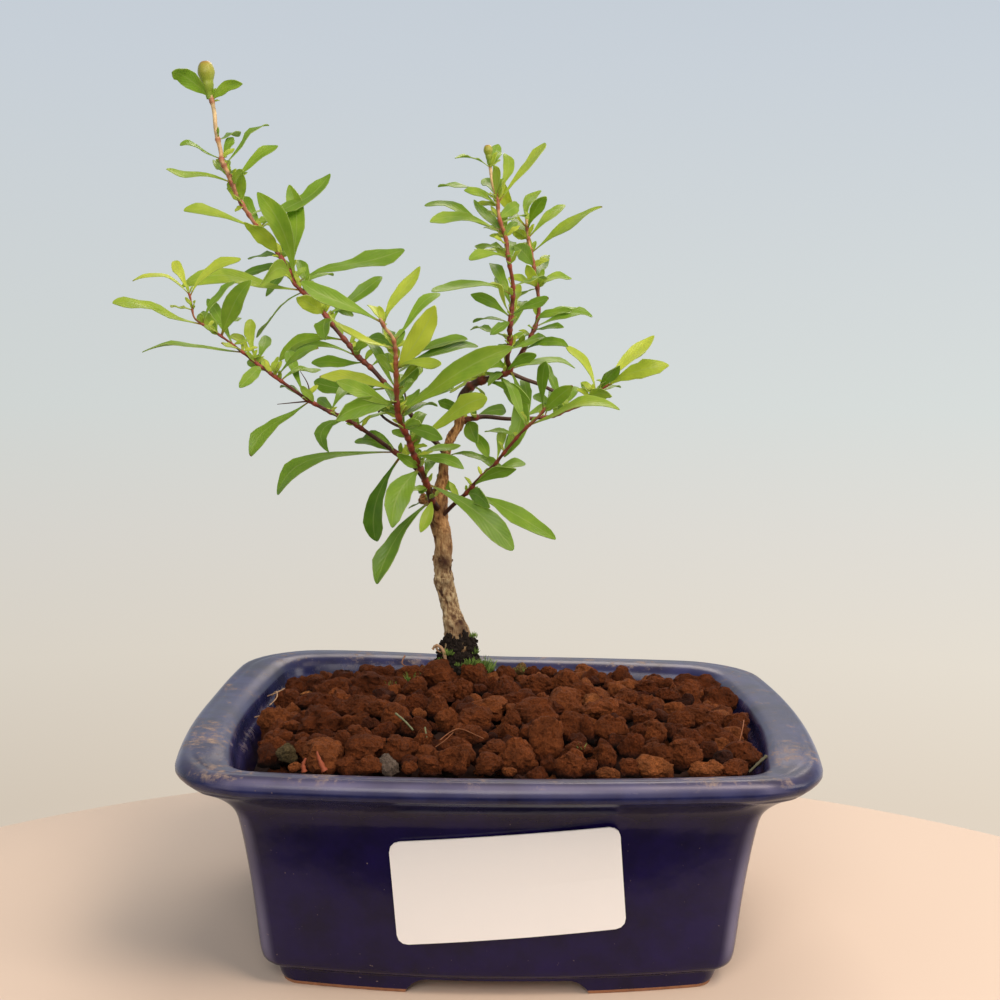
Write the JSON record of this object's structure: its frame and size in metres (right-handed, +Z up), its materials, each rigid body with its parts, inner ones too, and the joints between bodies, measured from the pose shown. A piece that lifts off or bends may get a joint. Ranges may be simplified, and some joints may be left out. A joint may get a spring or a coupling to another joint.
{
  "type": "pomegranate bonsai in a glazed pot",
  "caption": "Young pomegranate bonsai with slender leafy shoots, standing in heaped lava granules in a small rectangular blue glazed pot with a flared lip and arched feet.",
  "frame": {"origin": "middle of the bounding box's underside, on the surface that the feet stand on", "axes": "+X along the pot's long side towards the viewer's right, -Y towards the front with the label, +Z up"},
  "size_m": [0.146, 0.108, 0.1855],
  "materials": {
    "cobalt_glaze": "smooth glossy cobalt glaze, bare clay on the feet",
    "mesh_plastic": "moulded plastic drain mesh",
    "lava_granules": "rough porous lava granules",
    "bark": "flaking tan bark",
    "leafy_stem": "satin green leaves on red-brown twigs",
    "bud": "satin yellow-green calyx with an orange tip",
    "label_card": "blank white label"
  },
  "bodies": {
    "root": {"pot": "cobalt_glaze", "drain_mesh_left": "mesh_plastic", "drain_mesh_right": "mesh_plastic", "soil": "lava_granules", "trunk": "bark", "spray_front": "leafy_stem", "spray_left_upper": "leafy_stem", "spray_left_lower": "leafy_stem", "spray_right_lower": "leafy_stem", "spray_right_far": "leafy_stem", "spray_right_upper": "leafy_stem", "flower_bud_left": "bud", "flower_bud_right": "bud", "label": "label_card"}
  },
  "joints": []
}
